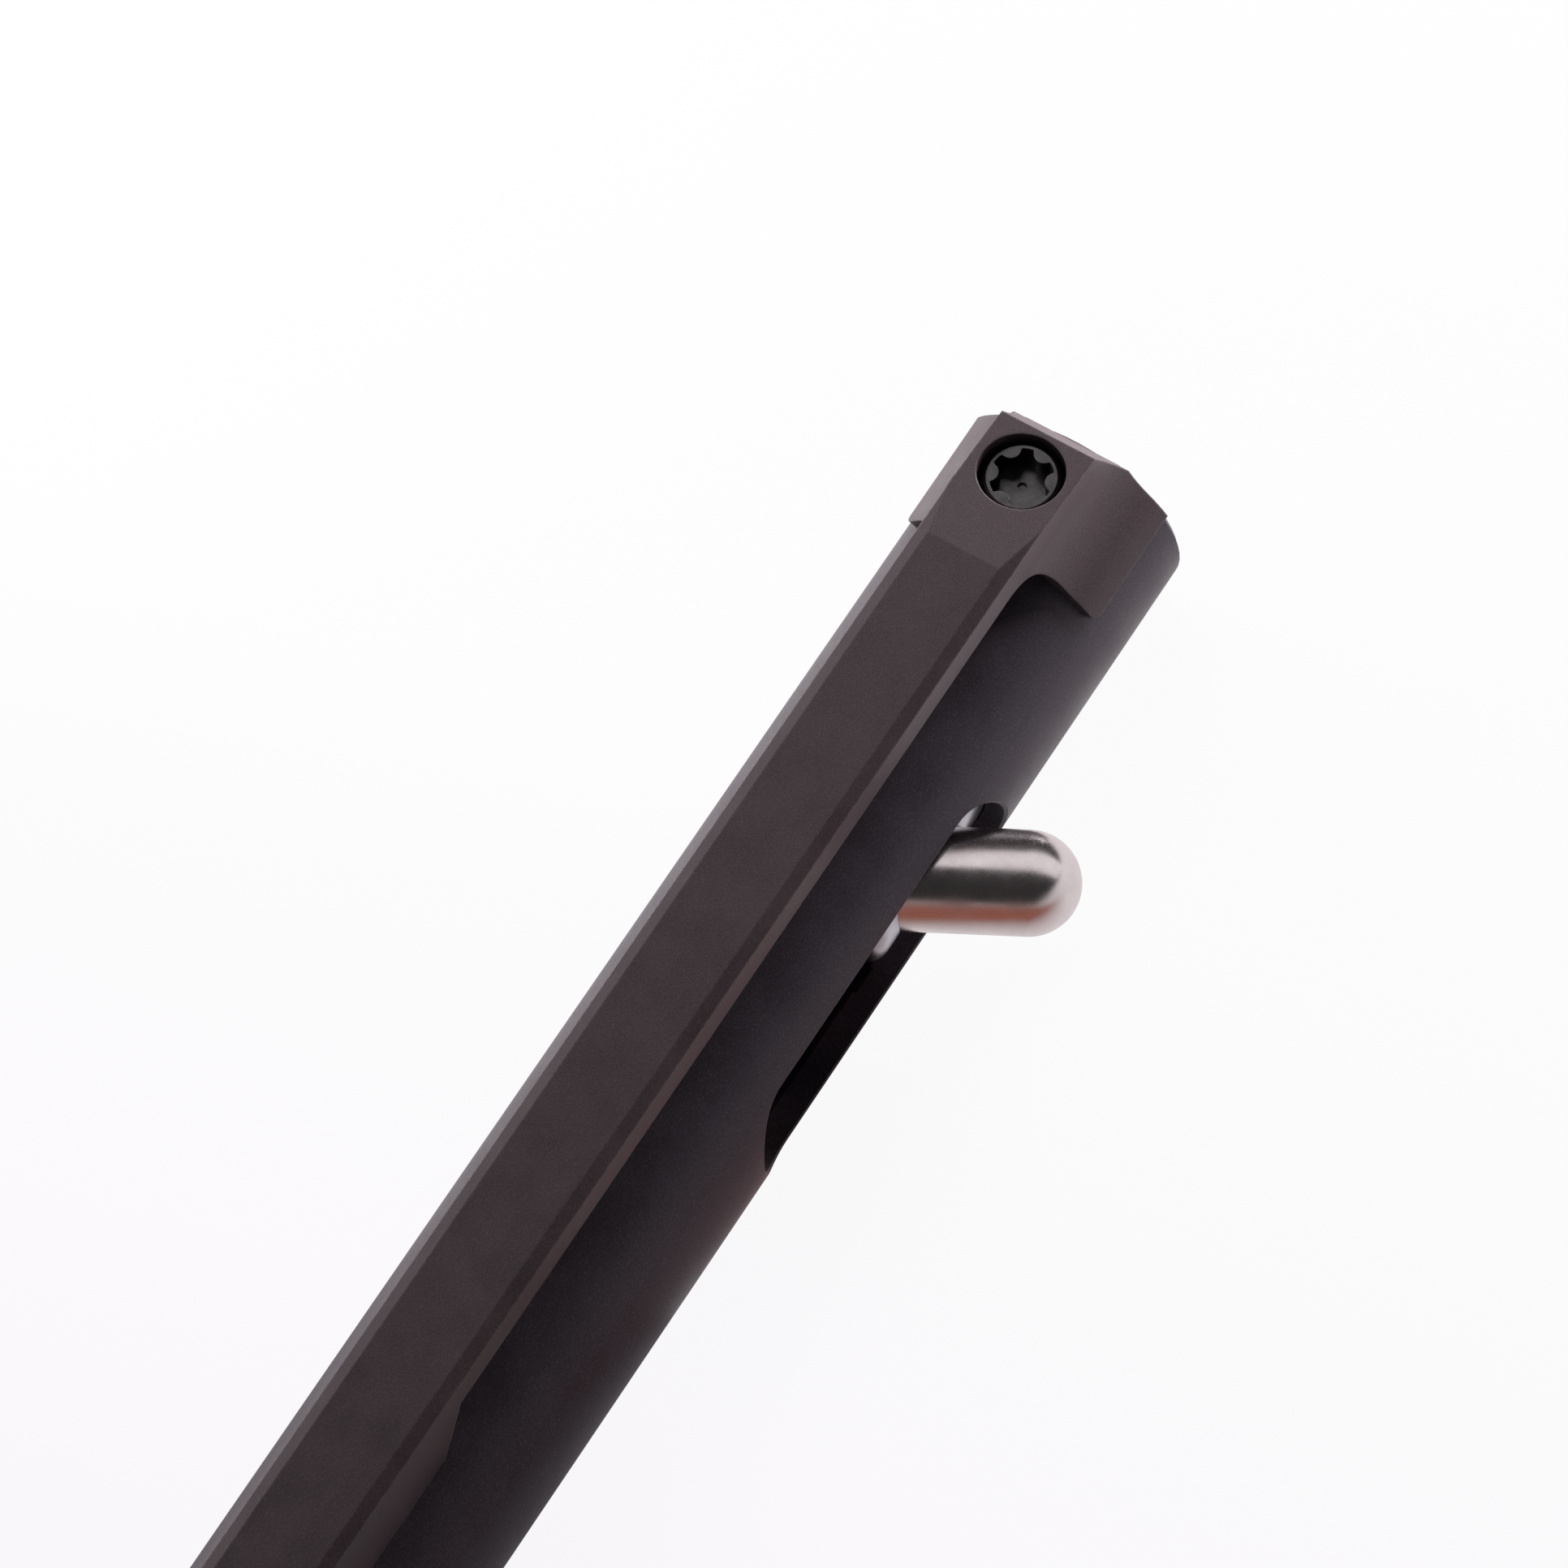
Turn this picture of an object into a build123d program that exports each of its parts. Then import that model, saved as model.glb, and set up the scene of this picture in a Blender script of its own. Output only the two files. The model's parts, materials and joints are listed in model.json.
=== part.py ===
# Bolt action pen, drawn as it lies on a table.
# The pen's axis is X, at Y = 0 and Z = 0, with the head towards +X and the writing tip towards -X.
# X is zero at the barrel's flat head end.
# A clock angle turns about +X, from straight up at 0 towards -Y at 90 degrees.
# The pen rests on its barrel and on the end of the bolt, and that sets the clock angles.
# Heights on the clip are distances from the pen's axis.

import math
import os

from build123d import *

os.makedirs("parts", exist_ok=True)

# Barrel
barrel_diameter = 10.5
barrel_length = 90.0
barrel_wall = 1.05
barrel_solid_head = 9.0
barrel_rim_chamfer = 0.25
barrel_mouth_chamfer = 0.2

# Slot in the barrel, with its end's distance from the head
slot_width = 5.1
slot_length = 19.0
slot_from_head = 14.4
slot_edge_chamfer = 0.12

# Bolt, which leans towards the head
bolt_diameter = 4.5
bolt_lean = 28.0
bolt_reach = 10.0
bolt_from_head = 20.85
bolt_root_reach = 2.0
bolt_root_chamfer = 0.3
bolt_travel = 11.5

# Slider that carries the bolt
slider_clearance = 0.05
slider_stop_gap = 0.1
slider_below_bolt = 2.0
slider_end_radius = 0.9
slider_top_chamfer = 0.4
stem_diameter = 6.8
stem_length = 4.05
stem_chamfer = 0.3
socket_depth = 1.6
socket_clearance = 0.05
bolt_hole_clearance = 0.02

# Detent ring in the slider, and its two grooves in the bore
ring_width = 1.0
ring_thickness = 0.6
ring_clearance = 0.03
ring_from_top = 2.0
ring_split = 0.8
groove_depth = 0.12
groove_width = 1.4

# Clip
clip_width = 4.54
clip_length = 66.0
clip_face_height = 9.3
clip_thickness = 1.9
clip_chamfer_width = 0.53
clip_chamfer_depth = 0.26
clip_ramp_length = 8.7
clip_ramp_angle = 5.8
clip_end_length = 1.95
clip_end_gap = 0.1
clip_end_foot_height = 5.1
clip_block_length = 6.15
clip_root_radius = 2.8
clip_flank_radius = 4.5
clip_skirt_thickness = 0.4
clip_saddle_gap = 0.25
clip_skirt_angle = 56.5
clip_skirt_corner_radius = 0.45
clip_foot_from_head = 50.8
clip_foot_slope = 1.6
clip_toe_length = 2.4
clip_toe_lift = 1.1
clip_toe_radius = 0.8

# Clip screw
screw_from_head = 4.1
screw_head_diameter = 3.25
screw_head_length = 1.25
screw_head_recess = 0.5
screw_head_chamfer = 0.12
screw_shank_diameter = 2.0
screw_shank_length = 5.0
screw_hole_clearance = 0.02
screw_hole_spare = 0.5
counterbore_diameter = 3.77
lobe_count = 6
lobe_tip_diameter = 2.74
lobe_root_diameter = 1.98
lobe_bump_radius = 0.45
lobe_edge_radius = 0.1
lobe_depth = 0.85
lobe_dimple_diameter = 0.4
lobe_dimple_depth = 0.1
lobe_turn = 20.0

# Grip section with its nose
nose_length = 14.0
nose_diameter = 3.4
nose_edge_chamfer = 0.3
nose_steps = 4
grip_joint_chamfer = 0.15
grip_bore_diameter = 6.2
spring_seat_from_nose = 9.0
lower_bore_diameter = 3.4
tip_hole_diameter = 2.5
tip_hole_length = 3.0
grip_groove_pitch = 4.0
grip_groove_width = 1.1
grip_groove_depth = 0.3
grip_groove_from_joint = 8.0
grip_groove_from_nose = 7.0
spigot_length = 9.0
spigot_clearance = 0.02
spigot_chamfer = 0.3

# Seal ring at the joint
seal_section = 0.55
seal_from_joint = 1.0
seal_gland_width = 0.75

# Refill, of the common metal kind
refill_length = 98.1
refill_diameter = 5.85
refill_wall = 0.45
refill_neck_diameter = 3.6
refill_neck_bore = 2.0
refill_neck_length = 5.0
refill_plug_length = 4.0
refill_plug_diameter = 4.8
refill_plug_spigot = 3.0
refill_plug_flange = 0.8
refill_plug_chamfer = 0.3
tip_diameter = 2.35
tip_length = 12.0
tip_cone_length = 2.6
tip_end_diameter = 0.86
tip_spigot_length = 3.0
ink_bore_diameter = 0.4
ball_diameter = 0.7
ball_show = 0.2
tip_show = 2.5
press_clearance = 0.01

# Return spring
spring_wire = 0.45
spring_wire_sides = 4
spring_diameter = 5.2
spring_turns = 6
spring_seat_gap = 0.05

# One overrun takes every cut past the face that it leaves
overrun = 2.0

# Places and radii that follow from the sizes above
barrel_radius = barrel_diameter / 2
bore_radius = barrel_radius - barrel_wall
joint_x = -barrel_length
bore_end_x = -barrel_solid_head
bolt_radius = bolt_diameter / 2
bolt_x = -bolt_from_head
dome_height = bolt_reach - bolt_radius
dome_along = dome_height / math.cos(math.radians(bolt_lean))
bolt_clock = 90 + math.degrees(math.asin((barrel_radius - bolt_radius) / dome_height))
clip_clock = bolt_clock - 90
slot_centre_x = -slot_from_head - slot_length / 2
slider_radius = bore_radius - slider_clearance
slider_bottom_x = bolt_x - slider_below_bolt
slider_top_x = bore_end_x - slider_stop_gap
ring_x = slider_top_x - ring_from_top - ring_width / 2
ring_radius = bore_radius - ring_clearance
ring_inner_radius = ring_radius - ring_thickness
refill_radius = refill_diameter / 2
stem_end_x = slider_bottom_x - stem_length
refill_top_x = stem_end_x + socket_depth
refill_tip_x = refill_top_x - refill_length
refill_step_x = refill_tip_x + tip_length + refill_neck_length
nose_x = refill_tip_x - bolt_travel + tip_show
spring_seat_x = nose_x + spring_seat_from_nose
spigot_radius = bore_radius - spigot_clearance
grip_bore_radius = grip_bore_diameter / 2
spigot_end_x = joint_x + spigot_length
seal_x = joint_x + seal_from_joint + seal_gland_width / 2
seal_inner_radius = bore_radius - seal_section
nose_start_x = nose_x + nose_length
groove_room = joint_x - nose_start_x - grip_groove_from_joint - grip_groove_from_nose - grip_groove_width
grip_groove_count = 1 + math.floor(groove_room / grip_groove_pitch)
tube_end_x = refill_top_x - refill_plug_length
ball_x = refill_tip_x + ball_diameter / 2
spring_end_gap = spring_wire / 2 + spring_seat_gap
spring_rise = refill_step_x - spring_seat_x - 2 * spring_end_gap
clip_under_height = clip_face_height - clip_thickness
ramp_fall = math.tan(math.radians(clip_ramp_angle))
clip_end_height = clip_face_height - (clip_ramp_length - clip_end_length) * ramp_fall
skirt_radius = barrel_radius + clip_skirt_thickness
flank_centre_out = clip_width / 2 + clip_flank_radius
flank_centre_height = math.sqrt((skirt_radius + clip_flank_radius) ** 2 - flank_centre_out**2)
flank_touch_angle = math.degrees(math.atan2(flank_centre_out, flank_centre_height))
foot_edge_height = math.sqrt(barrel_radius**2 - (clip_width / 2) ** 2)
lobe_bump_place = lobe_root_diameter / 2 + lobe_bump_radius
screw_x = -screw_from_head
screw_mouth_height = clip_face_height - (clip_ramp_length - screw_from_head) * ramp_fall
screw_top_height = screw_mouth_height - screw_head_recess
screw_seat_height = screw_top_height - screw_head_length
screw_hole_foot = screw_seat_height - screw_shank_length - screw_hole_spare


def side_plane(x, clock):
    """A plane through the pen's axis. Its x runs to the head and its y stands at the clock angle."""
    swing = math.radians(clock)
    return Plane(origin=(x, 0, 0), x_dir=(1, 0, 0), z_dir=(0, -math.cos(swing), -math.sin(swing)))


def cross_plane(x, clock):
    """A plane across the pen's axis. It faces the head and its y stands at the clock angle."""
    swing = math.radians(clock)
    return Plane(origin=(x, 0, 0), x_dir=(0, math.cos(swing), math.sin(swing)), z_dir=(1, 0, 0))


def outward_plane(x, clock, lean=0):
    """A plane on the pen's axis that faces outwards at the clock angle and leans towards the head."""
    swing = math.radians(clock)
    tip = math.radians(lean)
    return Plane(
        origin=(x, 0, 0),
        x_dir=(math.cos(tip), math.sin(swing) * math.sin(tip), -math.cos(swing) * math.sin(tip)),
        z_dir=(math.sin(tip), -math.sin(swing) * math.cos(tip), math.cos(swing) * math.cos(tip)),
    )


def on_barrel_outside(edge):
    """Tells whether an edge lies on the barrel's outside at both its ends."""
    reaches = [math.hypot(edge.position_at(end).Y, edge.position_at(end).Z) for end in (0, 1)]
    return max(abs(reach - barrel_radius) for reach in reaches) < slot_edge_chamfer / 2


def beside_slot(edge):
    """Tells whether an edge stands along the slot."""
    return abs(edge.center().X - slot_centre_x) <= slot_length / 2


def clip_height(shape):
    """Gives the height on the clip of an edge's or a face's centre."""
    return shape.center().dot(outward_plane(0, clip_clock).z_dir)


def on_clip_face(edge):
    """Tells whether an edge lies in the clip's outer face."""
    return abs(clip_height(edge) - clip_face_height) < clip_chamfer_depth / 2


def at_skirt_corner(edge):
    """Tells whether an edge is one of the short ones at the skirt's lower corners."""
    is_low = abs(edge.center().X + clip_block_length) < clip_skirt_thickness / 2
    return is_low and edge.length < 2 * clip_skirt_thickness


def polar_point(radius, angle):
    """A point of a section, by its distance from the axis and its angle from the section's y."""
    return radius * math.sin(math.radians(angle)), radius * math.cos(math.radians(angle))


def groove_points():
    """The points of the grip's vee grooves, from the joint towards the nose."""
    points = []
    for groove in range(grip_groove_count):
        start_x = joint_x - grip_groove_from_joint - groove * grip_groove_pitch
        points.append((start_x, barrel_radius))
        points.append((start_x - grip_groove_width / 2, barrel_radius - grip_groove_depth))
        points.append((start_x - grip_groove_width, barrel_radius))
    return points


def nose_points():
    """The points of the nose's curve, which starts level and falls ever faster to the front edge."""
    fall = barrel_radius - nose_diameter / 2
    run = nose_length - nose_edge_chamfer
    shares = [step / nose_steps for step in range(nose_steps + 1)]
    return [(nose_start_x - share * run, barrel_radius - fall * share**2) for share in shares]


# The bolt's own plane lies on the pen's axis and faces along the leaning bolt
bolt_plane = outward_plane(bolt_x, bolt_clock, bolt_lean)


# Barrel: a tube turned from bar, closed at the head, with two detent grooves in its bore
with BuildPart() as barrel:
    with BuildSketch(Plane.XY):
        with BuildLine():
            Polyline(
                (joint_x, bore_radius + barrel_mouth_chamfer),
                (joint_x, barrel_radius),
                (-barrel_rim_chamfer, barrel_radius),
                (0, barrel_radius - barrel_rim_chamfer),
                (0, 0),
                (bore_end_x, 0),
                (bore_end_x, bore_radius),
                (joint_x + barrel_mouth_chamfer, bore_radius),
                (joint_x, bore_radius + barrel_mouth_chamfer),
            )
        make_face()
    revolve(axis=Axis.X)
    for groove_x in (ring_x, ring_x - bolt_travel):
        with BuildSketch(cross_plane(groove_x - groove_width / 2, bolt_clock)):
            Circle(bore_radius + groove_depth)
            Circle(ring_inner_radius, mode=Mode.SUBTRACT)
        extrude(amount=groove_width, mode=Mode.SUBTRACT)
    with BuildSketch(outward_plane(slot_centre_x, bolt_clock)):
        SlotOverall(slot_length, slot_width)
    extrude(amount=barrel_radius + overrun, mode=Mode.SUBTRACT)
    slot_rim = barrel.edges().filter_by(on_barrel_outside).filter_by(beside_slot)
    chamfer(slot_rim, slot_edge_chamfer)
    with BuildSketch(outward_plane(screw_x, clip_clock).offset(screw_hole_foot)):
        Circle(screw_shank_diameter / 2 + screw_hole_clearance)
    extrude(amount=barrel_radius, mode=Mode.SUBTRACT)
barrel.part.label = "barrel"
export_step(barrel.part, "parts/barrel.step")

# Clip: one milled bar with a ramped head, a saddle that grips the barrel and a foot that hugs it
with BuildPart() as clip:
    with BuildSketch(side_plane(0, clip_clock)):
        with BuildLine():
            Polyline(
                (0, foot_edge_height),
                (0, clip_face_height),
                (clip_toe_radius - clip_length, clip_face_height),
            )
            RadiusArc(
                (clip_toe_radius - clip_length, clip_face_height),
                (-clip_length, clip_face_height - clip_toe_radius),
                -clip_toe_radius,
            )
            Polyline(
                (-clip_length, clip_face_height - clip_toe_radius),
                (-clip_length, foot_edge_height + clip_toe_lift),
                (clip_toe_length - clip_length, foot_edge_height),
                (0, foot_edge_height),
            )
        make_face()
    extrude(amount=clip_width / 2, both=True)
    outer_face = clip.faces().sort_by(clip_height)[-1]
    face_edges = clip.edges().filter_by(Axis.X).filter_by(on_clip_face)
    chamfer(face_edges, clip_chamfer_width, clip_chamfer_depth, reference=outer_face)
    with BuildSketch(cross_plane(-clip_block_length - clip_root_radius, clip_clock)):
        with BuildLine():
            Line((0, 0), polar_point(skirt_radius, clip_skirt_angle))
            ThreePointArc(
                polar_point(skirt_radius, clip_skirt_angle),
                polar_point(skirt_radius, (clip_skirt_angle + flank_touch_angle) / 2),
                polar_point(skirt_radius, flank_touch_angle),
            )
            RadiusArc(
                polar_point(skirt_radius, flank_touch_angle),
                (clip_width / 2, flank_centre_height),
                clip_flank_radius,
            )
            Line((clip_width / 2, flank_centre_height), (0, flank_centre_height))
            mirror(about=Plane.YZ)
        make_face()
    extrude(amount=clip_block_length + clip_root_radius - clip_saddle_gap)
    with BuildSketch(side_plane(0, clip_clock)):
        with BuildLine():
            Polyline(
                (-clip_block_length - clip_root_radius, clip_under_height),
                (-clip_foot_from_head, clip_under_height),
                (-clip_foot_from_head - clip_foot_slope, foot_edge_height),
                (-clip_foot_from_head - clip_foot_slope, 0),
                (-clip_block_length, 0),
                (-clip_block_length, clip_under_height - clip_root_radius),
            )
            RadiusArc(
                (-clip_block_length, clip_under_height - clip_root_radius),
                (-clip_block_length - clip_root_radius, clip_under_height),
                -clip_root_radius,
            )
        make_face()
    extrude(amount=barrel_radius + overrun, both=True, mode=Mode.SUBTRACT)
    with BuildSketch(side_plane(0, clip_clock)):
        with BuildLine():
            Polyline(
                (-clip_ramp_length, clip_face_height),
                (-clip_end_length, clip_end_height),
                (-clip_end_gap, clip_end_foot_height),
                (-clip_end_gap, 0),
                (overrun, 0),
                (overrun, clip_face_height + overrun),
                (-clip_ramp_length, clip_face_height + overrun),
                (-clip_ramp_length, clip_face_height),
            )
        make_face()
    extrude(amount=barrel_radius + overrun, both=True, mode=Mode.SUBTRACT)
    with BuildSketch(cross_plane(overrun, clip_clock)):
        Circle(barrel_radius)
    extrude(amount=-clip_length - 2 * overrun, mode=Mode.SUBTRACT)
    with BuildSketch(outward_plane(screw_x, clip_clock)):
        Circle(screw_shank_diameter / 2 + screw_hole_clearance)
    extrude(amount=screw_seat_height + overrun, mode=Mode.SUBTRACT)
    with BuildSketch(outward_plane(screw_x, clip_clock).offset(screw_seat_height)):
        Circle(counterbore_diameter / 2)
    extrude(amount=clip_face_height, mode=Mode.SUBTRACT)
    fillet(clip.edges().filter_by(GeomType.LINE).filter_by(at_skirt_corner), clip_skirt_corner_radius)
clip.part.label = "clip"
export_step(clip.part, "parts/clip.step")

# Clip screw: a low round head with a six-lobe recess, on a shank that enters the solid head
with BuildPart() as clip_screw:
    with BuildSketch(outward_plane(screw_x, clip_clock).offset(screw_seat_height)):
        Circle(screw_head_diameter / 2)
    extrude(amount=screw_head_length)
    screw_rim = clip_screw.edges().filter_by(GeomType.CIRCLE).sort_by(clip_height)[-1]
    chamfer(screw_rim, screw_head_chamfer)
    with BuildSketch(outward_plane(screw_x, clip_clock).offset(screw_seat_height)):
        Circle(screw_shank_diameter / 2)
    extrude(amount=-screw_shank_length)
    with BuildSketch(outward_plane(screw_x, clip_clock).offset(screw_top_height)) as lobes:
        Circle(lobe_tip_diameter / 2)
        with PolarLocations(lobe_bump_place, lobe_count, lobe_turn + 180 / lobe_count):
            Circle(lobe_bump_radius, mode=Mode.SUBTRACT)
        fillet(lobes.vertices(), lobe_edge_radius)
    extrude(amount=-lobe_depth, mode=Mode.SUBTRACT)
    with BuildSketch(outward_plane(screw_x, clip_clock).offset(screw_top_height - lobe_depth)):
        Circle(lobe_dimple_diameter / 2)
    extrude(amount=-lobe_dimple_depth, mode=Mode.SUBTRACT)
clip_screw.part.label = "clip_screw"
export_step(clip_screw.part, "parts/clip_screw.step")

# Bolt: a pin with a domed end, seated in the slider
with BuildPart() as bolt_pin:
    with BuildSketch(bolt_plane.offset(bolt_root_reach)):
        Circle(bolt_diameter / 2)
    extrude(amount=dome_along - bolt_root_reach)
    pin_root = bolt_pin.edges().filter_by(GeomType.CIRCLE).sort_by_distance(bolt_plane.origin)[0]
    chamfer(pin_root, bolt_root_chamfer)
    with Locations(bolt_plane.offset(dome_along).origin):
        Sphere(bolt_diameter / 2)
bolt_pin.part.label = "bolt_pin"
export_step(bolt_pin.part, "parts/bolt_pin.step")

# Slider: a turned plug that runs in the bore, carries the bolt and pushes the refill
with BuildPart() as slider:
    with BuildSketch(cross_plane(slider_bottom_x, bolt_clock)):
        Circle(slider_radius)
    extrude(amount=slider_top_x - slider_bottom_x)
    chamfer(slider.edges().filter_by(GeomType.CIRCLE).sort_by(Axis.X)[-1], slider_top_chamfer)
    fillet(slider.edges().filter_by(GeomType.CIRCLE).sort_by(Axis.X)[0], slider_end_radius)
    with BuildSketch(cross_plane(stem_end_x, bolt_clock)):
        Circle(stem_diameter / 2)
    extrude(amount=stem_length)
    chamfer(slider.edges().filter_by(GeomType.CIRCLE).sort_by(Axis.X)[0], stem_chamfer)
    with BuildSketch(cross_plane(stem_end_x, bolt_clock)):
        Circle(refill_plug_diameter / 2 + socket_clearance)
    extrude(amount=socket_depth, mode=Mode.SUBTRACT)
    with BuildSketch(cross_plane(ring_x - ring_width / 2 - ring_clearance, bolt_clock)):
        Circle(slider_radius + overrun)
        Circle(ring_inner_radius - ring_clearance, mode=Mode.SUBTRACT)
    extrude(amount=ring_width + 2 * ring_clearance, mode=Mode.SUBTRACT)
    with BuildSketch(bolt_plane.offset(bolt_root_reach)):
        Circle(bolt_diameter / 2 + bolt_hole_clearance)
    extrude(amount=barrel_diameter, mode=Mode.SUBTRACT)
slider.part.label = "slider"
export_step(slider.part, "parts/slider.step")

# Detent ring: a split spring ring that drops into the bore's grooves
with BuildPart() as detent_ring:
    with BuildSketch(cross_plane(ring_x - ring_width / 2, bolt_clock)):
        Circle(ring_radius)
        Circle(ring_inner_radius, mode=Mode.SUBTRACT)
        with Locations((0, -ring_radius)):
            Rectangle(ring_split, 2 * ring_thickness + ring_split, mode=Mode.SUBTRACT)
    extrude(amount=ring_width)
detent_ring.part.label = "detent_ring"
export_step(detent_ring.part, "parts/detent_ring.step")

# Grip section: a turned front with grip grooves, a bulging nose and a spigot that enters the barrel
with BuildPart() as grip_section:
    with BuildSketch(Plane.XY):
        with BuildLine():
            Polyline(
                (spigot_end_x, grip_bore_radius),
                (spigot_end_x, spigot_radius - spigot_chamfer),
                (spigot_end_x - spigot_chamfer, spigot_radius),
                (joint_x, spigot_radius),
                (joint_x, barrel_radius - grip_joint_chamfer),
                (joint_x - grip_joint_chamfer, barrel_radius),
                *groove_points(),
                *nose_points(),
                (nose_x, nose_diameter / 2 - nose_edge_chamfer),
                (nose_x, tip_hole_diameter / 2),
                (nose_x + tip_hole_length, tip_hole_diameter / 2),
                (nose_x + tip_hole_length, lower_bore_diameter / 2),
                (spring_seat_x, lower_bore_diameter / 2),
                (spring_seat_x, grip_bore_radius),
                (spigot_end_x, grip_bore_radius),
            )
        make_face()
    revolve(axis=Axis.X)
    with BuildSketch(cross_plane(joint_x + seal_from_joint, 0)):
        Circle(spigot_radius + overrun)
        Circle(seal_inner_radius, mode=Mode.SUBTRACT)
    extrude(amount=seal_gland_width, mode=Mode.SUBTRACT)
grip_section.part.label = "grip_section"
export_step(grip_section.part, "parts/grip_section.step")

# Joint ring: a rubber seal in the spigot's gland
with BuildPart() as joint_ring:
    with BuildSketch(Plane.XY):
        with Locations((seal_x, seal_inner_radius + seal_section / 2)):
            Rectangle(seal_section, seal_section)
    revolve(axis=Axis.X)
joint_ring.part.label = "joint_ring"
export_step(joint_ring.part, "parts/joint_ring.step")

# Refill tube: thin metal with a stepped neck
with BuildPart() as refill_tube:
    with BuildSketch(Plane.XY):
        with BuildLine():
            Polyline(
                (refill_tip_x + tip_length, refill_neck_bore / 2),
                (refill_tip_x + tip_length, refill_neck_diameter / 2),
                (refill_step_x, refill_neck_diameter / 2),
                (refill_step_x, refill_radius),
                (tube_end_x, refill_radius),
                (tube_end_x, refill_radius - refill_wall),
                (refill_step_x + refill_wall, refill_radius - refill_wall),
                (refill_step_x + refill_wall, refill_neck_bore / 2),
                (refill_tip_x + tip_length, refill_neck_bore / 2),
            )
        make_face()
    revolve(axis=Axis.X)
refill_tube.part.label = "refill_tube"
export_step(refill_tube.part, "parts/refill_tube.step")

# Refill nozzle: a straight needle with a cone that holds the ball
with BuildPart() as refill_nozzle:
    with BuildSketch(Plane.XY):
        with BuildLine():
            Polyline(
                (refill_tip_x + ball_show, ball_diameter / 2 + press_clearance),
                (refill_tip_x + ball_show, tip_end_diameter / 2),
                (refill_tip_x + tip_cone_length, tip_diameter / 2),
                (refill_tip_x + tip_length, tip_diameter / 2),
                (refill_tip_x + tip_length, refill_neck_bore / 2 - press_clearance),
                (refill_tip_x + tip_length + tip_spigot_length, refill_neck_bore / 2 - press_clearance),
                (refill_tip_x + tip_length + tip_spigot_length, ink_bore_diameter / 2),
                (refill_tip_x + ball_diameter, ink_bore_diameter / 2),
                (refill_tip_x + ball_diameter, ball_diameter / 2 + press_clearance),
                (refill_tip_x + ball_show, ball_diameter / 2 + press_clearance),
            )
        make_face()
    revolve(axis=Axis.X)
refill_nozzle.part.label = "refill_nozzle"
export_step(refill_nozzle.part, "parts/refill_nozzle.step")

# Refill plug: a plastic stopper in the tube's end, seated in the slider's socket
with BuildPart() as refill_plug:
    with BuildSketch(cross_plane(tube_end_x, 0)):
        Circle(refill_plug_diameter / 2)
    extrude(amount=refill_plug_length)
    chamfer(refill_plug.edges().filter_by(GeomType.CIRCLE).sort_by(Axis.X)[-1], refill_plug_chamfer)
    with BuildSketch(cross_plane(tube_end_x, 0)):
        Circle(refill_radius - refill_wall - press_clearance)
    extrude(amount=-refill_plug_spigot)
    with BuildSketch(cross_plane(tube_end_x, 0)):
        Circle(refill_radius)
    extrude(amount=refill_plug_flange)
refill_plug.part.label = "refill_plug"
export_step(refill_plug.part, "parts/refill_plug.step")

# Writing ball: a hard ball in the nozzle's seat
with BuildPart() as writing_ball:
    with Locations((ball_x, 0, 0)):
        Sphere(ball_diameter / 2)
writing_ball.part.label = "writing_ball"
export_step(writing_ball.part, "parts/writing_ball.step")

# Return spring: a faceted wire helix between the grip section's seat and the refill's step
with BuildPart() as return_spring:
    with BuildLine() as spring_path:
        Helix(
            spring_rise / spring_turns,
            spring_rise,
            spring_diameter / 2,
            center=(spring_seat_x + spring_end_gap, 0, 0),
            direction=(1, 0, 0),
        )
    with BuildSketch(spring_path.line ^ 0):
        RegularPolygon(spring_wire / 2, spring_wire_sides)
    sweep(is_frenet=True)
return_spring.part.label = "return_spring"
export_step(return_spring.part, "parts/return_spring.step")
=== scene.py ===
import json
import math

import bpy
from mathutils import Matrix, Vector


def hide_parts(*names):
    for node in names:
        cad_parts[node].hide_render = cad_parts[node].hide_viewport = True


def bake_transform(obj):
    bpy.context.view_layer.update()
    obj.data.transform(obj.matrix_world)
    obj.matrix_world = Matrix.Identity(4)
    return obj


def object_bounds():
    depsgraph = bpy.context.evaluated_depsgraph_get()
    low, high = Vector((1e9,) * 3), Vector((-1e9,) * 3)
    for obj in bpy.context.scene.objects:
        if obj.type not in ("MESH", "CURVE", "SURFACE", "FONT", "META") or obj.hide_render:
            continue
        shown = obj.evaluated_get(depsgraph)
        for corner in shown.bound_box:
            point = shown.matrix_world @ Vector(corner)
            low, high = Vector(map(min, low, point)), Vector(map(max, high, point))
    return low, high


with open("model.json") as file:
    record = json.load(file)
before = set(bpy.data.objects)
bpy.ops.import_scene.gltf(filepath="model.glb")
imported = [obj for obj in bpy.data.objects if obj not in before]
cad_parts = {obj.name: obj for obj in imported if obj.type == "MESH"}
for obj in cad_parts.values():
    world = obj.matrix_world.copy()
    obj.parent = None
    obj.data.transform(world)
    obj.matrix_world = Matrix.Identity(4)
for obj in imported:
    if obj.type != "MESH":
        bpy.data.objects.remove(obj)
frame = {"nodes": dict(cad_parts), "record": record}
cad_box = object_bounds()

mm = 0.001

# Camera: the photograph's frame and its focal length in pixels, how the pen's axis leans out of the picture
# and lies in it, how far round the axis from straight above the camera stands, and the head as it sees it
image_width = 1932
focal_pixels = 10500
sensor_width = 36.0
nearest_seen = 0.01
farthest_seen = 20.0
axis_tilt = math.radians(20.42)
axis_image_angle = math.radians(55.52)
view_clock = math.radians(40.0)
head_right = 12.564 * mm
head_up = 12.301 * mm
head_forward = 364.819 * mm

# Floor
floor_size = 1.6
floor_height = cad_box[0][2]
floor_colour = (0.9, 0.9, 0.9)
floor_roughness = 0.6

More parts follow.
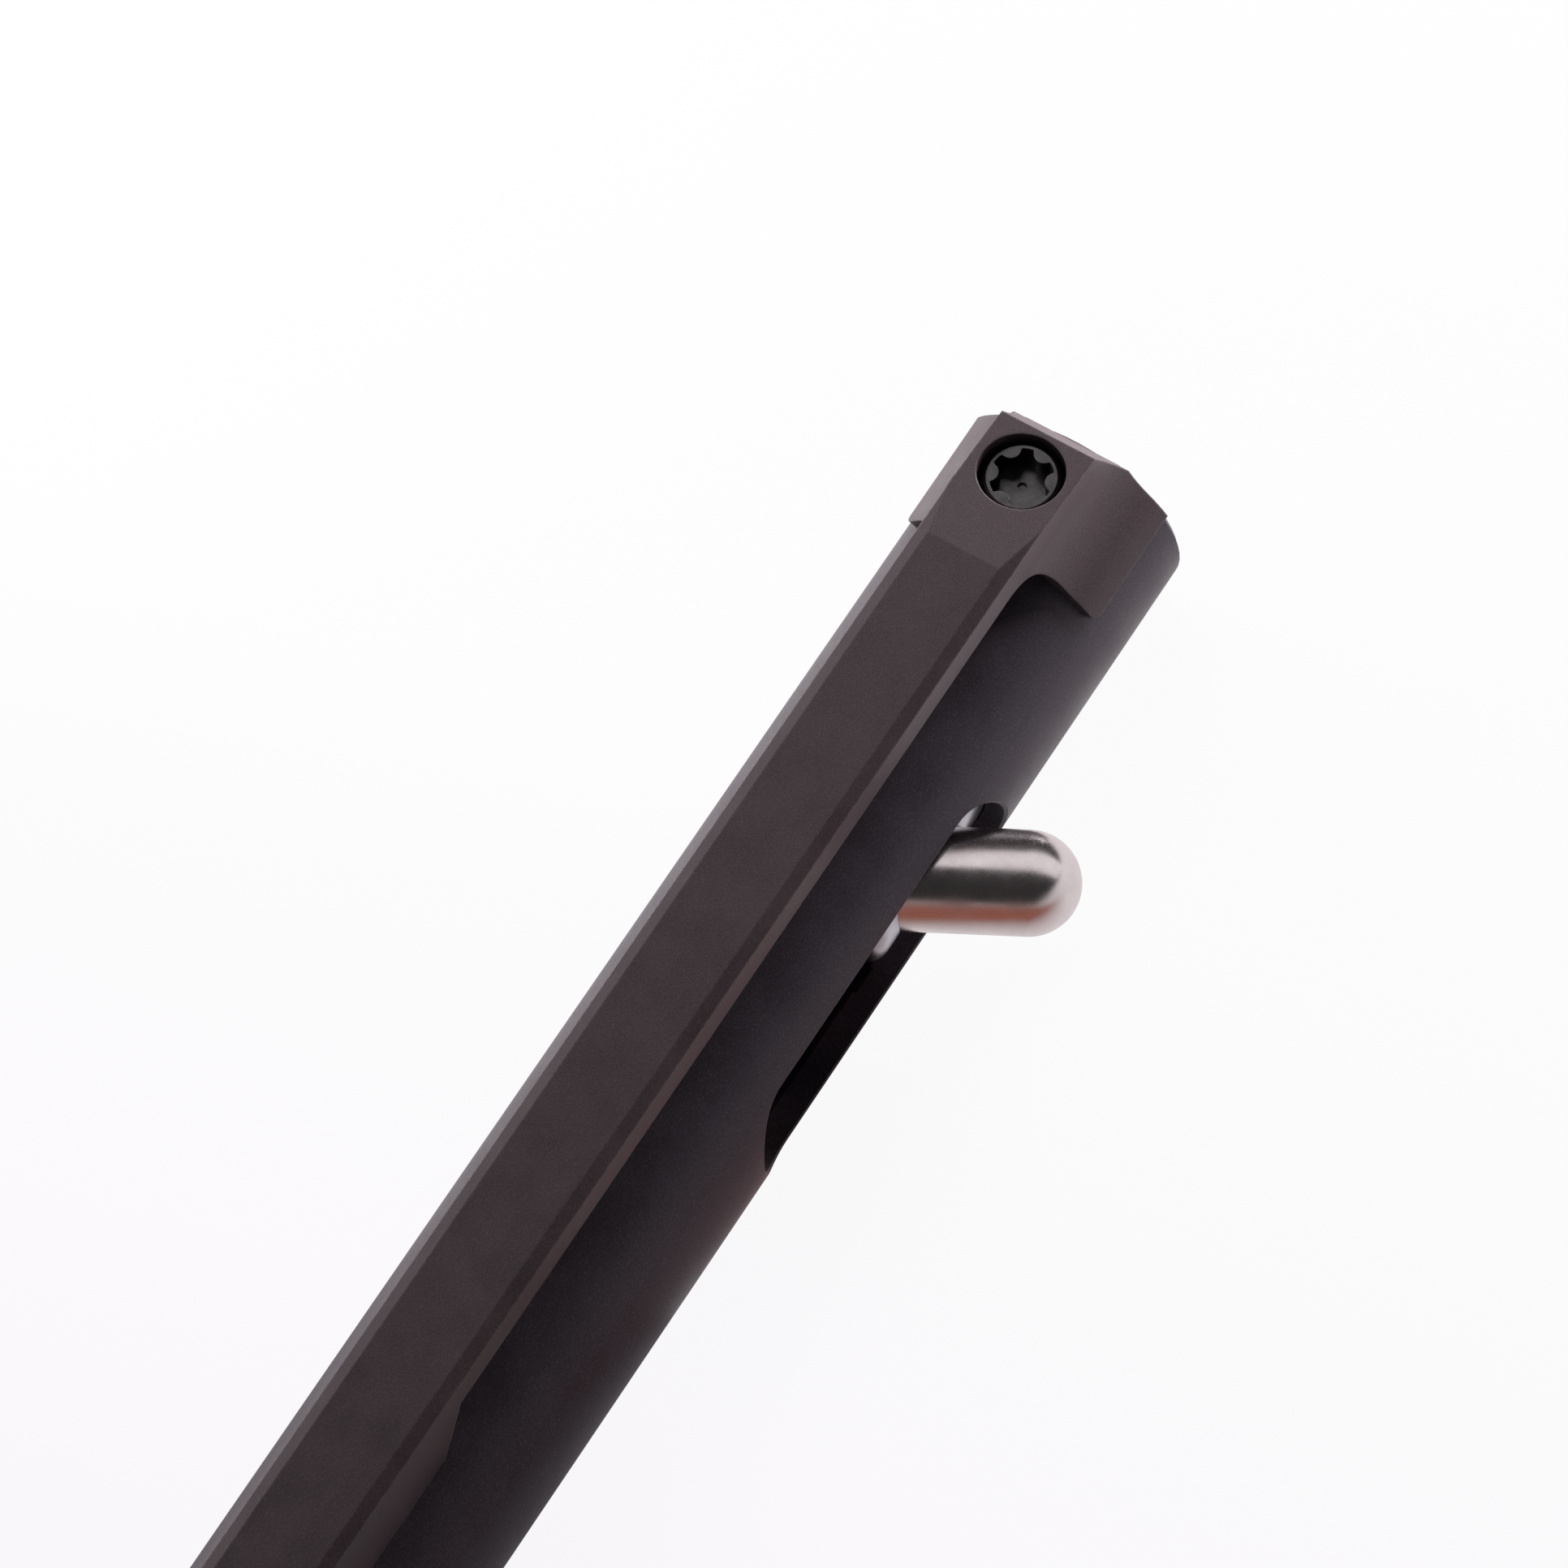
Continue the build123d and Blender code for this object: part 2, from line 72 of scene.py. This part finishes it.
# Studio as the pen mirrors it: the room's own light and colour, the even light that only rough surfaces take,
# and a warm card. Directions are turns up from the camera's own and then to its right
room_light = 0.03
studio_colour = (1, 0.93, 0.96)
fill_light = 0.06
card_turn = math.radians(-62)
card_inner = math.radians(8)
card_outer = math.radians(20)
card_colour = (0.31, 0.11, 0.08)

# The same card as a painted reflection on the floor, seen only in the pen's reflections: how far out it
# starts and is full, and how wide it is
painted_card_near = 20 * mm
painted_card_far = 25 * mm
painted_card_half_width = 8 * mm
painted_card_fade = 4 * mm

# How bright the floor's painted reflection glows, seen only in the pen's reflections, from the tail to the
# head
floor_tail = -62 * mm
floor_head = -8 * mm
painted_glow_at_tail = 0.32
painted_glow_at_head = 0.9

# How much of what the camera sees of the floor is plain white, and the faint tint of its lower part
floor_whiteness = 0.95
white = (1, 1, 1)
tint_start = -15 * mm
tint_end = -130 * mm
tint_colour = (0.94, 0.88, 0.96)

# Lamps: place, target, size and power. The pin's panel is placed by turns, and its light is its brightness
key_place = (0.14, 0.06, 0.2)
key_target = (-0.01, 0, 0)
key_size = (0.12, 0.12)
key_power = 0.31
left_place = (0, 0.4, 0.06)
left_target = (-0.02, 0, 0)
left_size = (0.5, 0.15)
left_power = 0.95
near_left_place = (0.02, 0.09, 0.03)
near_target = (-0.005, 0, 0)
near_left_size = (0.06, 0.05)
near_left_power = 0.028
head_place = (0.12, -0.03, 0.01)
head_size = (0.06, 0.03)
head_power = 0.2
ground_centre = (0.0, 0.0)
ground_size = (0.08, 0.2)
ground_power = 0.023
ground_lift = 0.02 * mm
high_place = (-0.235, 0.288, 0.334)
high_size = (0.7, 0.7)
high_power = 2.35
panel_turn = math.radians(50)
panel_side = math.radians(18)
panel_distance = 0.15
panel_size = (0.33, 0.125)
panel_light = 0.87

# Finishes: noise lies mostly between 0.3 and 0.7, and these are the parts of that which they spread
noise_middle = (0.35, 0.65)
noise_wide = (0.3, 0.7)
noise_upper = (0.35, 0.7)

# Worn edges: the cosines between the rounded normal and the true one where wear starts and where it is full
bevel_samples = 4
wear_range = (0.98, 0.8)
chip_size = 0.3 * mm
chip_share = (0.25, 0.9)

# Anodised aluminium
cloud_size = 2.2 * mm
cloud_detail = 5.0
grain_size = 0.075 * mm
grain_detail = 2.0
grain_roughness = 0.7
grain_strength = 0.5
grain_height = 0.012 * mm
pit_range = (0.25, 0.5)
pit_share = (0.3, 0.0)
pit_colour = (0.004, 0.004, 0.005)
speck_range = (0.52, 0.8)
speck_share = (0.0, 0.24)
smoother, rougher = 0.04, 0.05
anodise_specular = 0.32

# Steel
scratch_size = 0.05 * mm
scratch_height = 0.004 * mm
scratch_roughness = (0.0, 0.05)
mark_size = 0.5 * mm
mark_detail = 4.0
mark_roughness = 0.7
smudge_size = 1.6 * mm
smudge_shares = (0.8, 1.2)
steel_edge = 0.04 * mm

# Rubber and plastic
bloom_size = 0.4 * mm
bloom_detail = 4.0
bloom_range = (0.4, 0.7)
rubber_roughness = (0.55, 0.7)
rubber_grain_size = 0.05 * mm
rubber_grain_strength = 0.3
plastic_cloud_size = 0.8 * mm
plastic_roughness = (0.35, 0.45)
plastic_grain_size = 0.07 * mm
plastic_grain_strength = 0.2
soft_grain_height = 0.01 * mm


def camera_axes():
    """The camera's right, up and back directions, from the pen's axis as it lies in the photograph."""
    outward = Vector((0, -math.sin(view_clock), math.cos(view_clock)))
    aside = Vector((0, -math.cos(view_clock), -math.sin(view_clock)))
    pen_axis = Vector((1, 0, 0))
    back = math.cos(axis_tilt) * outward - math.sin(axis_tilt) * pen_axis
    flat_axis = (pen_axis + math.sin(axis_tilt) * back) / math.cos(axis_tilt)
    right = math.cos(axis_image_angle) * flat_axis + math.sin(axis_image_angle) * aside
    up = math.sin(axis_image_angle) * flat_axis - math.cos(axis_image_angle) * aside
    return right, up, back


right, up, back = camera_axes()


def seen_direction(turn, side=0.0):
    """A direction turned up from the camera's own by one angle and to its right by another."""
    return math.cos(side) * (math.cos(turn) * back + math.sin(turn) * up) + math.sin(side) * right


card_direction = seen_direction(card_turn)


def add_camera():
    """The camera of the photograph."""
    data = bpy.data.cameras.new("camera")
    data.sensor_width = sensor_width
    data.lens = focal_pixels * sensor_width / image_width
    data.clip_start = nearest_seen
    data.clip_end = farthest_seen
    camera = bpy.data.objects.new("camera", data)
    place = -head_right * right - head_up * up + head_forward * back
    turn = Matrix((right, up, back)).transposed().to_4x4()
    camera.matrix_world = Matrix.Translation(place) @ turn
    bpy.context.scene.collection.objects.link(camera)
    bpy.context.scene.camera = camera


def material(name):
    """A new node material. Gives it, its tree and its Principled shader."""
    made = bpy.data.materials.new(name)
    made.use_nodes = True
    tree = made.node_tree
    return made, tree, tree.nodes["Principled BSDF"]


def object_place(tree, stretch=(1, 1, 1)):
    """Object coordinates, stretched."""
    source = tree.nodes.new("ShaderNodeTexCoord")
    mapping = tree.nodes.new("ShaderNodeMapping")
    mapping.inputs["Scale"].default_value = stretch
    tree.links.new(source.outputs["Object"], mapping.inputs["Vector"])
    return mapping.outputs["Vector"]


def noise(tree, place, size, detail=3.0, roughness=0.55):
    """Noise whose features are about that size, in metres."""
    node = tree.nodes.new("ShaderNodeTexNoise")
    node.inputs["Scale"].default_value = 1 / size
    node.inputs["Detail"].default_value = detail
    node.inputs["Roughness"].default_value = roughness
    tree.links.new(place, node.inputs["Vector"])
    return node.outputs["Fac"]


def spread(tree, value, source, target=(0.0, 1.0)):
    """A value moved from one range to another, and held within it."""
    node = tree.nodes.new("ShaderNodeMapRange")
    node.inputs["From Min"].default_value, node.inputs["From Max"].default_value = source
    node.inputs["To Min"].default_value, node.inputs["To Max"].default_value = target
    tree.links.new(value, node.inputs["Value"])
    return node.outputs["Result"]


def mix_colours(tree, share, first, second):
    """A colour between two, by a share that varies over the surface. Each is a colour or a socket."""
    node = tree.nodes.new("ShaderNodeMix")
    node.data_type = "RGBA"
    tree.links.new(share, node.inputs["Factor"])
    for name, colour in (("A", first), ("B", second)):
        socket = [s for s in node.inputs if s.name == name and s.type == "RGBA"][0]
        if isinstance(colour, bpy.types.NodeSocket):
            tree.links.new(colour, socket)
        else:
            socket.default_value = (*colour, 1)
    return [s for s in node.outputs if s.type == "RGBA"][0]


def along(tree, vector, direction):
    """How far a vector reaches along a fixed direction."""
    node = tree.nodes.new("ShaderNodeVectorMath")
    node.operation = "DOT_PRODUCT"
    node.inputs[1].default_value = direction
    tree.links.new(vector, node.inputs[0])
    return node.outputs["Value"]


def calculate(tree, operation, *values):
    """A sum on values that vary over the surface. Each is a number or a socket."""
    node = tree.nodes.new("ShaderNodeMath")
    node.operation = operation
    for socket, value in zip(node.inputs, values):
        if isinstance(value, bpy.types.NodeSocket):
            tree.links.new(value, socket)
        else:
            socket.default_value = value
    return node.outputs["Value"]


def bump(tree, height, strength, distance, normal=None):
    """A bump from a height that varies over the surface."""
    node = tree.nodes.new("ShaderNodeBump")
    node.inputs["Strength"].default_value = strength
    node.inputs["Distance"].default_value = distance
    tree.links.new(height, node.inputs["Height"])
    if normal is not None:
        tree.links.new(normal, node.inputs["Normal"])
    return node.outputs["Normal"]


def emission(tree, colour, strength=None):
    """Light of a colour that varies over the surface, at a strength of 1 if none is given."""
    node = tree.nodes.new("ShaderNodeEmission")
    tree.links.new(colour, node.inputs["Color"])
    if strength is not None:
        tree.links.new(strength, node.inputs["Strength"])
    return node.outputs["Emission"]


def mix_shaders(tree, share, first, second):
    """A shader between two, by a share."""
    node = tree.nodes.new("ShaderNodeMixShader")
    for socket, source in zip(node.inputs, (share, first, second)):
        tree.links.new(source, socket)
    return node.outputs["Shader"]


def rounded_normal(tree, reach):
    """The normal, rounded near sharp edges."""
    node = tree.nodes.new("ShaderNodeBevel")
    node.samples = bevel_samples
    node.inputs["Radius"].default_value = reach
    return node.outputs["Normal"]


def edge_wear(tree, rounded):
    """A share that is 1 on sharp edges, where the rounded normal leaves the true one, and 0 elsewhere."""
    geometry = tree.nodes.new("ShaderNodeNewGeometry")
    product = tree.nodes.new("ShaderNodeVectorMath")
    product.operation = "DOT_PRODUCT"
    tree.links.new(rounded, product.inputs[0])
    tree.links.new(geometry.outputs["Normal"], product.inputs[1])
    return spread(tree, product.outputs["Value"], wear_range)


def satin_anodise(name, dark, light, worn, roughness, edge):
    """Bead-blasted and dyed aluminium: a fine grain with pits and specks, faint clouds, and paler edges."""
    made, tree, shader = material(name)
    place = object_place(tree)
    cloud = noise(tree, place, cloud_size, cloud_detail)
    grain = noise(tree, place, grain_size, grain_detail, grain_roughness)
    tone = mix_colours(tree, spread(tree, cloud, noise_middle), dark, light)
    pitted = mix_colours(tree, spread(tree, grain, pit_range, pit_share), tone, pit_colour)
    speck = mix_colours(tree, spread(tree, grain, speck_range, speck_share), pitted, worn)
    rounded = rounded_normal(tree, edge)
    chips = spread(tree, noise(tree, place, chip_size), noise_middle, chip_share)
    broken = calculate(tree, "MULTIPLY", edge_wear(tree, rounded), chips)
    tree.links.new(mix_colours(tree, broken, speck, worn), shader.inputs["Base Color"])
    rough = spread(tree, cloud, noise_wide, (roughness - smoother, roughness + rougher))
    tree.links.new(rough, shader.inputs["Roughness"])
    tree.links.new(bump(tree, grain, grain_strength, grain_height, rounded), shader.inputs["Normal"])
    shader.inputs["Specular IOR Level"].default_value = anodise_specular
    return made


def steel(name, colour, marked, roughness, stretch=(1, 1, 1), scratch_strength=0.15):
    """Bare steel: handling marks, smudges, rounded edges and a fine grain. A stretch makes lines of it."""
    made, tree, shader = material(name)
    place = object_place(tree)
    lines = noise(tree, object_place(tree, stretch), scratch_size)
    marks = noise(tree, place, mark_size, mark_detail, mark_roughness)
    smudge = noise(tree, place, smudge_size)
    tone = mix_colours(tree, spread(tree, marks, noise_upper), colour, marked)
    tree.links.new(tone, shader.inputs["Base Color"])
    smudged = spread(tree, smudge, noise_upper, [roughness * share for share in smudge_shares])
    scratched = spread(tree, lines, noise_wide, scratch_roughness)
    tree.links.new(calculate(tree, "ADD", smudged, scratched), shader.inputs["Roughness"])
    rounded = rounded_normal(tree, steel_edge)
    tree.links.new(bump(tree, lines, scratch_strength, scratch_height, rounded), shader.inputs["Normal"])
    shader.inputs["Metallic"].default_value = 1.0
    return made


def dark_anodised():
    """Barrel and grip section: dark grey, faintly violet."""
    return satin_anodise("dark_anodised", dark=(0.037, 0.028, 0.04), light=(0.051, 0.0405, 0.055),
                         worn=(0.3, 0.31, 0.36), roughness=0.5, edge=0.07 * mm)


def clip_anodised():
    """Clip: dark grey, faintly brown."""
    return satin_anodise("clip_anodised", dark=(0.066, 0.045, 0.051), light=(0.081, 0.057, 0.063),
                         worn=(0.27, 0.24, 0.24), roughness=0.48, edge=0.12 * mm)


def black_steel():
    """Clip screw: blackened, with a rough skin."""
    return steel("black_steel", colour=(0.065, 0.066, 0.067), marked=(0.1, 0.1, 0.1), roughness=0.38,
                 scratch_strength=0.3)


def polished_steel():
    """The bolt's pin: smooth, with soft reflections."""
    return steel("polished_steel", colour=(0.74, 0.7, 0.69), marked=(0.79, 0.75, 0.74), roughness=0.25,
                 scratch_strength=0.1)


def bright_steel():
    """Slider: turned, with fine lines round it."""
    return steel("bright_steel", colour=(0.55, 0.56, 0.6), marked=(0.62, 0.63, 0.67), roughness=0.3,
                 stretch=(6, 1, 1))


def spring_steel():
    """Return spring and detent ring: drawn wire."""
    return steel("spring_steel", colour=(0.42, 0.42, 0.43), marked=(0.5, 0.5, 0.5), roughness=0.22)


def seal_rubber():
    """Joint ring: black rubber with a faint bloom."""
    made, tree, shader = material("seal_rubber")
    place = object_place(tree)
    bloom = noise(tree, place, bloom_size, bloom_detail)
    tone = mix_colours(tree, spread(tree, bloom, bloom_range), (0.012, 0.012, 0.013), (0.02, 0.02, 0.021))
    tree.links.new(tone, shader.inputs["Base Color"])
    tree.links.new(spread(tree, bloom, noise_wide, rubber_roughness), shader.inputs["Roughness"])
    grain = noise(tree, place, rubber_grain_size)
    tree.links.new(bump(tree, grain, rubber_grain_strength, soft_grain_height), shader.inputs["Normal"])
    return made


def refill_metal():
    """The refill's tube and nozzle: plated, with fine lines along them."""
    return steel("refill_metal", colour=(0.6, 0.58, 0.55), marked=(0.66, 0.64, 0.6), roughness=0.22,
                 stretch=(1, 8, 8))


def plug_plastic():
    """The refill's plug: blue moulded plastic with a soft skin."""
    made, tree, shader = material("plug_plastic")
    place = object_place(tree)
    cloud = noise(tree, place, plastic_cloud_size)
    tone = mix_colours(tree, spread(tree, cloud, noise_upper), (0.06, 0.08, 0.3), (0.09, 0.11, 0.36))
    tree.links.new(tone, shader.inputs["Base Color"])
    tree.links.new(spread(tree, cloud, noise_wide, plastic_roughness), shader.inputs["Roughness"])
    grain = noise(tree, place, plastic_grain_size)
    tree.links.new(bump(tree, grain, plastic_grain_strength, soft_grain_height), shader.inputs["Normal"])
    return made


def carbide():
    """Writing ball: ground and smooth."""
    return steel("carbide", colour=(0.4, 0.4, 0.41), marked=(0.45, 0.45, 0.46), roughness=0.12)


def make_finishes():
    """The finish of each material slot in the record. Each function has its slot's name."""
    makers = (dark_anodised, clip_anodised, black_steel, polished_steel, bright_steel, spring_steel,
              seal_rubber, refill_metal, plug_plastic, carbide)
    return {maker.__name__: maker() for maker in makers}


def dress_nodes(finishes):
    """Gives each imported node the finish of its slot."""
    slots = {part["node"]: part["material_slot"] for part in frame["record"]["subparts"]}
    for name, node in frame["nodes"].items():
        node.data.materials.clear()
        node.data.materials.append(finishes[slots[name]])


def add_spring(finish):
    """The return spring again, as a piece of its own that stands in for the imported node, which is hidden.
    """
    node = frame["nodes"]["return_spring"]
    mesh = node.data.copy()
    mesh.transform(node.matrix_world)
    mesh.materials.clear()
    mesh.materials.append(finish)
    spring = bpy.data.objects.new("coil_spring", mesh)
    bpy.context.scene.collection.objects.link(spring)
    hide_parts("return_spring")
    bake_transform(spring)


def frame_centre(name):
    """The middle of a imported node's box."""
    node = frame["nodes"][name]
    corners = [node.matrix_world @ Vector(corner) for corner in node.bound_box]
    return sum(corners, Vector()) / len(corners)


def painted_card_reflection(tree, place):
    """A share that is 1 on the painted reflection of the warm card on the floor by the bolt, and 0 off it."""
    card_axis = Vector((card_direction.x, card_direction.y, 0)).normalized()
    card_across = Vector((-card_axis.y, card_axis.x, 0))
    middle = frame_centre("bolt_pin").dot(card_across)
    reach = spread(tree, along(tree, place, card_axis), (painted_card_near, painted_card_far))
    offset = calculate(tree, "SUBTRACT", along(tree, place, card_across), middle)
    edges = (painted_card_half_width, painted_card_half_width + painted_card_fade)
    aside = spread(tree, calculate(tree, "ABSOLUTE", offset), edges, (1.0, 0.0))
    return calculate(tree, "MULTIPLY", reach, aside)


def floor_finish():
    """White that keeps the shadow. In the pen's reflections it glows instead, a painted reflection brighter
    near the head, with the painted warm card on it.
    """
    made, tree, shader = material("floor")
    shader.inputs["Base Color"].default_value = (*floor_colour, 1)
    shader.inputs["Roughness"].default_value = floor_roughness
    place = object_place(tree)
    up_the_pen = along(tree, place, (1, 0, 0))
    painted_glow_level = spread(tree, up_the_pen, (floor_tail, floor_head), (painted_glow_at_tail, painted_glow_at_head))
    # Painted reflection of a warm card: a patch of the floor's glow by the bolt
    card = painted_card_reflection(tree, place)
    painted_reflection_colour = mix_colours(tree, card, studio_colour, card_colour)
    # Painted reflection: the floor glows for reflected rays alone, brighter towards the head and warm on the
    # card
    mirrored = emission(tree, painted_reflection_colour, calculate(tree, "MAXIMUM", painted_glow_level, card))
    tint = spread(tree, up_the_pen, (tint_end, tint_start), (1.0, 0.0))
    plain = emission(tree, mix_colours(tree, tint, white, tint_colour))
    path = tree.nodes.new("ShaderNodeLightPath")
    lit = mix_shaders(tree, path.outputs["Is Glossy Ray"], shader.outputs[0], mirrored)
    share = calculate(tree, "MULTIPLY", path.outputs["Is Camera Ray"], floor_whiteness)
    shown = mix_shaders(tree, share, lit, plain)
    tree.links.new(shown, tree.nodes["Material Output"].inputs["Surface"])
    return made


def add_floor():
    """A plain floor under the pen."""
    mesh = bpy.data.meshes.new("floor")
    half = floor_size / 2
    corners = [(-half, -half), (half, -half), (half, half), (-half, half)]
    mesh.from_pydata([(x, y, floor_height) for x, y in corners], [], [(0, 1, 2, 3)])
    floor = bpy.data.objects.new("floor", mesh)
    bpy.context.scene.collection.objects.link(floor)
    mesh.materials.append(floor_finish())


def light_world():
    """The room as the pen mirrors it: dark, with the warm card low down. The camera sees it white."""
    world = bpy.data.worlds.new("studio")
    bpy.context.scene.world = world
    world.use_nodes = True
    tree = world.node_tree
    background = tree.nodes["Background"]
    direction = tree.nodes.new("ShaderNodeTexCoord").outputs["Generated"]
    card_range = (math.cos(card_outer), math.cos(card_inner))
    card = spread(tree, along(tree, direction, card_direction), card_range)
    path = tree.nodes.new("ShaderNodeLightPath")
    glossy = path.outputs["Is Glossy Ray"]
    colour = mix_colours(tree, card, studio_colour, card_colour)
    tree.links.new(mix_colours(tree, glossy, white, colour), background.inputs["Color"])
    mirrored = calculate(tree, "MULTIPLY", calculate(tree, "MAXIMUM", card, room_light), glossy)
    even = calculate(tree, "MULTIPLY", path.outputs["Is Diffuse Ray"], fill_light)
    seen = calculate(tree, "MAXIMUM", path.outputs["Is Camera Ray"], path.outputs["Is Transmission Ray"])
    total = calculate(tree, "MAXIMUM", calculate(tree, "MAXIMUM", mirrored, even), seen)
    tree.links.new(total, background.inputs["Strength"])


def add_lamp(name, place, target, size, power, across=None, lights_rough=True):
    """A soft rectangular lamp that faces a target. Its width may be laid along a given direction."""
    data = bpy.data.lights.new(name, "AREA")
    data.shape = "RECTANGLE"
    data.size, data.size_y = size
    data.energy = power
    data.color = studio_colour
    lamp = bpy.data.objects.new(name, data)
    facing = Vector(place) - Vector(target)
    turn = facing.to_track_quat("Z", "Y").to_matrix()
    if across is not None:
        facing.normalize()
        width = (across - across.dot(facing) * facing).normalized()
        turn = Matrix((width, facing.cross(width), facing)).transposed()
    lamp.matrix_world = Matrix.Translation(place) @ turn.to_4x4()
    lamp.visible_camera = False
    lamp.visible_diffuse = lights_rough
    bpy.context.scene.collection.objects.link(lamp)
    return lamp


def light_only(lamp, name, nodes, state):
    """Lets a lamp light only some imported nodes, or every one but those."""
    group = bpy.data.collections.new(name)
    lamp.light_linking.receiver_collection = group
    for node in nodes:
        group.objects.link(node)
    for member in group.collection_objects:
        member.light_linking.link_state = state


def add_lamps():
    """The studio's lamps. Most stand near the pen's head, and the bright pin mirrors a panel of its own."""
    pin, slider = frame["nodes"]["bolt_pin"], frame["nodes"]["slider"]
    ground_place = Vector((*ground_centre, floor_height + ground_lift))
    above_ground = ground_place + Vector((0, 0, 1))
    lamps = [
        add_lamp("key", key_place, key_target, key_size, key_power),
        add_lamp("left", left_place, left_target, left_size, left_power),
        add_lamp("near_left", near_left_place, near_target, near_left_size, near_left_power),
        add_lamp("head", head_place, near_target, head_size, head_power),
        add_lamp("ground", ground_place, above_ground, ground_size, ground_power, lights_rough=False),
        add_lamp("high_left", high_place, near_target, high_size, high_power, lights_rough=False),
    ]
    for lamp in lamps:
        light_only(lamp, "all_but_bolt_" + lamp.name, [pin, slider], "EXCLUDE")
    pin_place = frame_centre("bolt_pin")
    panel_place = pin_place + panel_distance * seen_direction(panel_turn, panel_side)
    panel_power = panel_light * math.pi * panel_size[0] * panel_size[1]
    panel = add_lamp("panel", panel_place, pin_place, panel_size, panel_power, right)
    light_only(panel, "pin_alone", [pin], "INCLUDE")


add_camera()
finishes = make_finishes()
dress_nodes(finishes)
add_spring(finishes["spring_steel"])
add_floor()
light_world()
add_lamps()
bpy.context.scene.view_settings.view_transform = "Standard"
